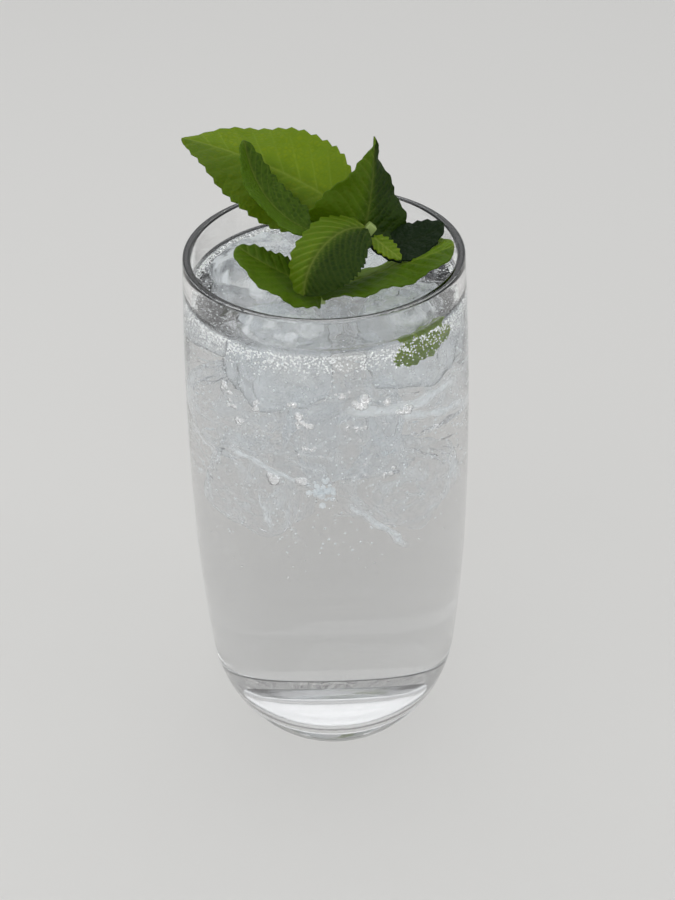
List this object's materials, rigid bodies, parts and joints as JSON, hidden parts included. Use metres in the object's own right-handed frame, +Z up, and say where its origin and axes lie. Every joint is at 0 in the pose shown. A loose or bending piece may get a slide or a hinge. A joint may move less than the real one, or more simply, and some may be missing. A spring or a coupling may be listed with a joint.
{
  "type": "glass of sparkling water",
  "caption": "Barrel-shaped glass tumbler of sparkling water with floating ice and a leafy sprig of mint.",
  "frame": {"origin": "centre of the foot, on the surface the glass stands on", "axes": "+Z up along the axis of the glass, +X to the right and -Y to the side that the mint leans over"},
  "size_m": [0.0712, 0.0712, 0.1663],
  "materials": {
    "tumbler_glass": "clear pressed soda-lime glass, polished",
    "sparkling_water": "clear carbonated water",
    "ice": "melting ice, clear with a frosted core",
    "mint_leaf": "fresh quilted mint leaf with a soft sheen",
    "mint_stem": "pale green square mint stem"
  },
  "bodies": {
    "root": {"tumbler": "tumbler_glass", "drink": "sparkling_water", "mint_stem": "mint_stem", "ice_left": "ice", "ice_back": "ice", "ice_right": "ice", "ice_front": "ice", "back_leaf": "mint_leaf", "curled_leaf": "mint_leaf", "crown_leaf": "mint_leaf", "front_leaf": "mint_leaf", "left_leaf": "mint_leaf", "right_leaf": "mint_leaf", "rear_leaf": "mint_leaf", "young_leaf": "mint_leaf"}
  },
  "joints": []
}
